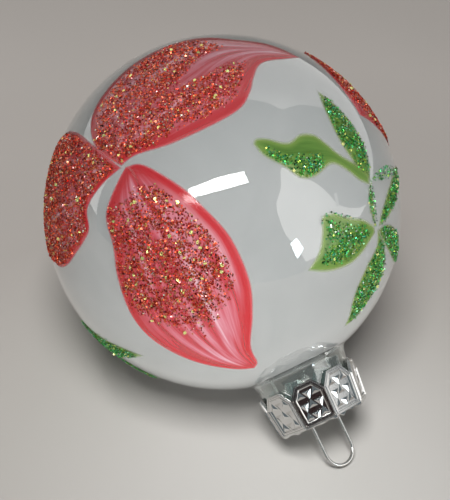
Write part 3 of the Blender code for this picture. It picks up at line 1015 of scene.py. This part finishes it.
def with_holes(shape):
    """The mesh of a shape with the plate's two wire holes cut through it."""
    sheet = new_object("cap_sheet", mesh_of(shape, "cap_sheet"))
    cutters = [wire_hole_cutter(side) for side in (-1, 1)]
    for cutter in cutters:
        cut = sheet.modifiers.new("Wire hole", "BOOLEAN")
        cut.object = cutter
    mesh = bpy.data.meshes.new_from_object(sheet.evaluated_get(bpy.context.evaluated_depsgraph_get()))
    for helper in (sheet, *cutters):
        bpy.data.objects.remove(helper)
    return mesh


def build_cap():
    """The pressed cap: nine tabs with a double border and rows of triangles, and a stepped plate."""
    shape = bmesh.new()
    for flat in range(CAP_FLATS):
        add_tab(shape, flat)
    add_plate(shape)
    bmesh.ops.remove_doubles(shape, verts=shape.verts, dist=0.01)
    bmesh.ops.recalc_face_normals(shape, faces=shape.faces)
    mesh = with_holes(shape)
    shape = bmesh.new()
    shape.from_mesh(mesh)
    middle = (PLATE_LEVEL + MOUTH_LEVEL) / 2 + TRIANGLE_RISE
    for flat in range(CAP_FLATS):
        for row in (-1, 0, 1):
            for column in (-1, 0, 1):
                add_raised_triangle(shape, flat, column * TRIANGLE_COLUMN, middle + row * TRIANGLE_ROW,
                                    (row + column) % 2 == 0)
    bmesh.ops.recalc_face_normals(shape, faces=shape.faces)
    material = metal("silver_cap", srgb(214, 213, 211), 0.1, 900.0, 0.00002)
    piece("pressed_cap", mesh_of(shape, "pressed_cap", sharp=18), material, "cap", "silver_cap", "cap")


def wire_hole_cutter(side):
    """A round cutter for one of the plate's two holes."""
    shape = bmesh.new()
    radius = WIRE_RADIUS + HOLE_CLEARANCE
    bmesh.ops.create_cone(shape, cap_ends=True, segments=24, radius1=radius, radius2=radius,
                          depth=10 * CAP_SHEET,
                          matrix=Matrix.Translation((side * LOOP_HALF_WIDTH, 0.0, PLATE_LEVEL)))
    return new_object("wire_hole", mesh_of(shape, "wire_hole"))


LEG_STRAIGHT = 1.5  # straight wire under the plate
LEG_SPLAY = 7.0  # height over which a leg leans out
LEG_STEPS = 32
WIRE_SIDES = 20


def wire_half():
    """The hanger's centre line on its +X side, from the end of the leg to the top of the loop."""
    crown = LOOP_TOP - WIRE_RADIUS - LOOP_HALF_WIDTH
    straight = PLATE_LEVEL - CAP_SHEET - LEG_STRAIGHT
    shift = LEG_END_RADIUS - LOOP_HALF_WIDTH
    leg = [(LEG_END_RADIUS, LEG_END)]
    for step in range(LEG_STEPS + 1):
        share = step / LEG_STEPS
        leg.append((LEG_END_RADIUS - shift * (1 - cos(pi * share)) / 2, straight - LEG_SPLAY * (1 - share)))
    return leg + arc((0.0, crown), LOOP_HALF_WIDTH, 0.0, pi / 2, LEG_STEPS)


def build_wire():
    """The wire hanger: a round tube along its centre line, with flat ends."""
    right = wire_half()
    path = [Vector((x, 0.0, level)) for x, level in right]
    path += [Vector((-x, 0.0, level)) for x, level in reversed(right[:-1])]
    shape = bmesh.new()
    turns = [2 * pi * side / WIRE_SIDES for side in range(WIRE_SIDES)]
    across = Vector((0.0, 1.0, 0.0))
    rings = []
    for index, place in enumerate(path):
        way = (path[min(index + 1, len(path) - 1)] - path[max(index - 1, 0)]).normalized()
        inward = way.cross(across)
        rings.append([shape.verts.new(place + (across * cos(turn) + inward * sin(turn)) * WIRE_RADIUS)
                      for turn in turns])
    join_rings(shape, rings)
    for ring in (rings[0], rings[-1]):
        shape.faces.new(ring)
    bmesh.ops.recalc_face_normals(shape, faces=shape.faces)
    material = metal("steel_wire", srgb(200, 199, 196), 0.16, 1400.0, 0.00001)
    piece("wire_loop", mesh_of(shape, "wire_loop", sharp=50), material, "hanger", "steel_wire", "hanger_wire")


# ---------------------------------------------------------------- camera, floor and light

RADIUS = BALL * MM
CAMERA_AZIMUTH = -38.9
CAMERA_ELEVATION = 38.1
CAMERA_DISTANCE = 7 * RADIUS
CAMERA_ROLL = 3.74
CAMERA_LENS = 88.8
AIM = Vector((-0.0027, -0.0047, -0.0065))  # from the ball's middle to the middle of the view


def turned_from_front(azimuth, elevation):
    """Unit vector towards a viewer at an azimuth (0 looks along +Y) and an elevation, in degrees."""
    turn, rise = radians(azimuth), radians(elevation)
    return Vector((sin(turn) * cos(rise), -cos(turn) * cos(rise), sin(rise)))


def build_camera():
    """The camera at the photograph's viewing angle."""
    data = bpy.data.cameras.new("camera")
    data.lens = CAMERA_LENS
    data.clip_start = 0.01
    camera = new_object("camera", data)
    camera.location = CENTRE + turned_from_front(CAMERA_AZIMUTH, CAMERA_ELEVATION) * CAMERA_DISTANCE
    aim = (CENTRE + AIM - camera.location).to_track_quat("-Z", "Y")
    camera.rotation_mode = "QUATERNION"
    camera.rotation_quaternion = aim @ Euler((0, 0, radians(CAMERA_ROLL))).to_quaternion()
    bpy.context.scene.camera = camera
    return camera


DOME = 0.5  # distance of the light cards from the ball's middle, in metres


def bounced(camera, seen, outward):
    """Where the camera's ray to a shiny place goes on to meet the dome."""
    ray = (seen - camera.location).normalized()
    bounce = ray - 2 * ray.dot(outward) * outward
    start = seen - CENTRE
    along = start.dot(bounce)
    reach = -along + sqrt(along**2 + DOME**2 - start.length_squared)
    return CENTRE + start + bounce * reach


def mirrored_by_ball(camera, across, up):
    """The place on the dome that the ball mirrors at a place on its face.

    The place is in ball radii, to the right of the ball's middle and above it.
    """
    aim = CENTRE + camera.rotation_quaternion @ Vector((across, up, 0.0)) * RADIUS
    ray = (aim - camera.location).normalized()
    to_eye = camera.location - CENTRE
    half = ray.dot(to_eye)
    length = -half - sqrt(max(half**2 - to_eye.length_squared + RADIUS**2, 0.0))
    seen = camera.location + ray * length
    return bounced(camera, seen, (seen - CENTRE) / RADIUS)


def mirrored_by_tab(camera, flat, sideways, level):
    """The place on the dome that a flat of the cap mirrors, at a place on it in millimetres."""
    slope = (MOUTH_APOTHEM - PLATE_APOTHEM) / (PLATE_LEVEL - MOUTH_LEVEL)
    outward = cap_place(flat, 0.0, 1.0, slope)
    outward = (TO_WORLD.to_3x3() @ outward).normalized()
    return bounced(camera, TO_WORLD @ cap_point(flat, sideways, level), outward)


def light_card(name, outline, mirrored, colour, strength, near):
    """A glowing card with an outline of mirrored places. Near is its share of the way to the dome."""
    shape = bmesh.new()
    face = shape.faces.new([shape.verts.new((*place, 0.0)) for place in outline])
    bmesh.ops.triangulate(shape, faces=[face])
    bmesh.ops.subdivide_edges(shape, edges=shape.edges, cuts=3, use_grid_fill=True)
    for vert in shape.verts:
        vert.co = CENTRE + (mirrored(vert.co.x, vert.co.y) - CENTRE) * near
    card = new_object(name, mesh_of(shape, name))
    shader = new_shader(name)
    card.data.materials.append(shader.surface(shader.node("Emission", colour, strength)))
    card.visible_camera = False
    card.visible_diffuse = False
    card.visible_shadow = False


# Outlines of what the ball mirrors, in ball radii to the right of its middle and above it
SCREEN = [
    (-0.60, 0.30), (-0.30, 0.50), (0.0, 0.60), (0.12, 0.64), (0.20, 0.635), (0.27, 0.615), (0.33, 0.585),
    (0.39, 0.605), (0.46, 0.612), (0.57, 0.59), (0.68, 0.53), (0.765, 0.44), (0.82, 0.32), (0.83, 0.18),
    (0.80, 0.04), (0.66, 0.04), (0.60, 0.105), (0.52, 0.17), (0.43, 0.21), (0.33, 0.26), (0.325, 0.14),
    (0.30, 0.03), (0.35, -0.12), (0.40, -0.175), (0.45, -0.25), (0.475, -0.30), (0.43, -0.355),
    (0.32, -0.43), (0.19, -0.485), (-0.10, -0.50), (-0.40, -0.42), (-0.62, -0.30), (-0.69, -0.18),
    (-0.72, -0.06), (-0.70, 0.10),
]
SCREEN_STEPS = 150
STRIP = [(-0.205, 0.075), (-0.195, 0.135), (-0.03, 0.20), (0.115, 0.232), (0.14, 0.17), (-0.02, 0.125)]
SMALL_LAMP = [(0.375, -0.175), (0.41, -0.14), (0.45, -0.20), (0.415, -0.26)]
PANEL = [(-0.80, -0.03), (-0.74, -0.09), (-0.67, -0.20), (-0.67, -0.36), (-0.74, -0.28), (-0.80, -0.18)]
BEFORE_SCREEN = 0.8  # share of the way to the dome for what stands in front of the screen
BEFORE_TABS = 0.9


def build_cards(camera):
    """The studio that the glass and the metal mirror: a grey-blue screen with a lobed edge, a lamp strip,
    a small lamp, a pale panel, and a dark and a bright card for the cap's tabs."""
    on_ball = partial(mirrored_by_ball, camera)
    screen = smooth_line(SCREEN + SCREEN[:1], SCREEN_STEPS)[:-1]
    light_card("grey_screen", screen, on_ball, srgb(205, 222, 230), 0.26, 1.0)
    light_card("lamp_strip", STRIP, on_ball, grey(1.0), 14.0, BEFORE_SCREEN)
    light_card("small_lamp", SMALL_LAMP, on_ball, srgb(235, 248, 255), 12.0, BEFORE_SCREEN)
    light_card("pale_panel", PANEL, on_ball, srgb(235, 240, 240), 2.2, BEFORE_SCREEN)
    middle = (PLATE_LEVEL + MOUTH_LEVEL) / 2
    facing = [(-14.0, middle - 14.0), (14.0, middle - 14.0), (14.0, middle + 14.0), (-14.0, middle + 14.0)]
    light_card("dark_card", facing, partial(mirrored_by_tab, camera, 5), srgb(66, 46, 44), 0.6, BEFORE_TABS)
    beside = [(0.4, middle - 10.0), (9.0, middle - 10.0), (9.0, middle + 10.0), (-0.6, middle + 10.0)]
    light_card("bright_card", beside, partial(mirrored_by_tab, camera, 4), grey(1.0), 1.1, BEFORE_TABS)


# The floor's pool of light is painted into its colour: lighter near this place, greyer away from it.
PAINTED_LIGHT_POOL = (-0.013, -0.045, 0.0)  # brightest place of the floor
PAINTED_POOL_REACH = 0.3  # distance over which the floor's tones run, in metres
# Painted light and shade of the floor away from the pool: share of its reach, and colour
PAINTED_POOL_TONES = [(0.0, srgb(201, 200, 197)), (0.1, srgb(194, 192, 189)), (0.22, srgb(180, 177, 173)),
              (0.35, srgb(173, 168, 164)), (0.6, srgb(181, 176, 172)), (1.0, srgb(181, 176, 172))]


FLOOR_GAP = 0.00005  # the floor lies this far under the object, in metres


def floor_material():
    """Pale matt paper with faint mottling, and a painted pool of light in front of the ball: the paper is
    painted greyer away from it.
    """
    shader = new_shader("floor")
    mottle = shader.texture("Noise", Scale=9.0, Detail=2.0)
    paper = shader.ramp([(0.3, srgb(250, 249, 247)), (0.7, srgb(255, 254, 252))], mottle)
    place = shader.node("TexCoord").outputs["Object"]
    distance = shader.node("VectorMath", place, PAINTED_LIGHT_POOL, operation="DISTANCE").outputs["Value"]
    # Painted light: the paper's colour is lighter near the pool and greyer away from it.
    pool = shader.ramp(PAINTED_POOL_TONES, shader.mapped(distance, 0.0, 1.0, 0.0, PAINTED_POOL_REACH))
    colour = shader.mixed_colour(1.0, paper, pool, "MULTIPLY")
    return shader.surface(shader.node("BsdfPrincipled", Base_Color=colour, Roughness=0.9,
                                      Specular_IOR_Level=0.1))


def build_floor():
    """A pale floor with a painted pool of light."""
    shape = bmesh.new()
    bmesh.ops.create_grid(shape, x_segments=4, y_segments=4, size=3.0)
    floor = new_object("floor", mesh_of(shape, "floor"))
    floor.location.z = CAD_BOX[0].z - FLOOR_GAP
    floor.data.materials.append(floor_material())
    floor.visible_shadow = False
    return floor


def build_world(soft, before, behind):
    """Even soft light. Glass and metal mirror another strength: one before the ball and one behind it."""
    world = bpy.data.worlds.new("studio")
    bpy.context.scene.world = world
    shader = Shader(world)
    place = shader.node("TexCoord").outputs["Generated"]
    away = -turned_from_front(CAMERA_AZIMUTH, 0.0)
    depth = shader.node("VectorMath", place, away, operation="DOT_PRODUCT").outputs["Value"]
    mirrored = shader.mapped(depth, before, behind, -0.3, 0.6)
    path = shader.node("LightPath")
    either = shader.node("Math", path.outputs["Is Glossy Ray"], path.outputs["Is Transmission Ray"],
                         operation="MAXIMUM")
    glow = shader.node("Background", srgb(255, 254, 252), shader.mapped(either, soft, mirrored))
    shader.node("OutputWorld", glow)


FLOOR_LAMP_PLACE = Vector((-0.26, -0.227, 0.75))  # from the ball's middle
ORNAMENT_LAMP_DISTANCE = 0.75
ORNAMENT_LAMP_SIZE = 0.5
# Lamps for the ornament: azimuth from the camera's, elevation and watts
ORNAMENT_LAMPS = {
    "before_ornament": (15.0, 52.0, 3.6), "low_before_ornament": (20.0, 5.0, 3.0),
    "below_ornament": (0.0, -50.0, 1.5),
}


def add_lamp(name, place, size, watts, lit):
    """A soft square lamp that looks at the ball, in metres from its middle, for some objects alone."""
    data = bpy.data.lights.new(name, "AREA")
    data.size = size
    data.energy = watts
    lamp = new_object(name, data)
    lamp.location = CENTRE + place
    lamp.rotation_euler = place.to_track_quat("Z", "Y").to_euler()
    lamp.visible_glossy = False
    receivers = bpy.data.collections.new(f"lit_by_{name}")
    for thing in lit:
        receivers.objects.link(thing)
    lamp.light_linking.receiver_collection = receivers


def build_lamps(floor):
    """A lamp over the floor, and three for the ornament: two before it, and one below for the light that
    a bright floor throws up."""
    pieces = [thing for thing in bpy.context.scene.objects if thing.type == "MESH" and thing.parent]
    add_lamp("over_floor", FLOOR_LAMP_PLACE, 0.34, 7.6, [floor])
    for name, (turn, rise, watts) in ORNAMENT_LAMPS.items():
        place = turned_from_front(CAMERA_AZIMUTH + turn, rise) * ORNAMENT_LAMP_DISTANCE
        add_lamp(name, place, ORNAMENT_LAMP_SIZE, watts, pieces)


build_glass()
build_lining()
build_flowers()
build_leaves()
build_cap()
build_wire()
build_cards(build_camera())
build_world(soft=0.06, before=2.1, behind=0.8)
build_lamps(build_floor())
bpy.context.scene.view_settings.view_transform = "Standard"
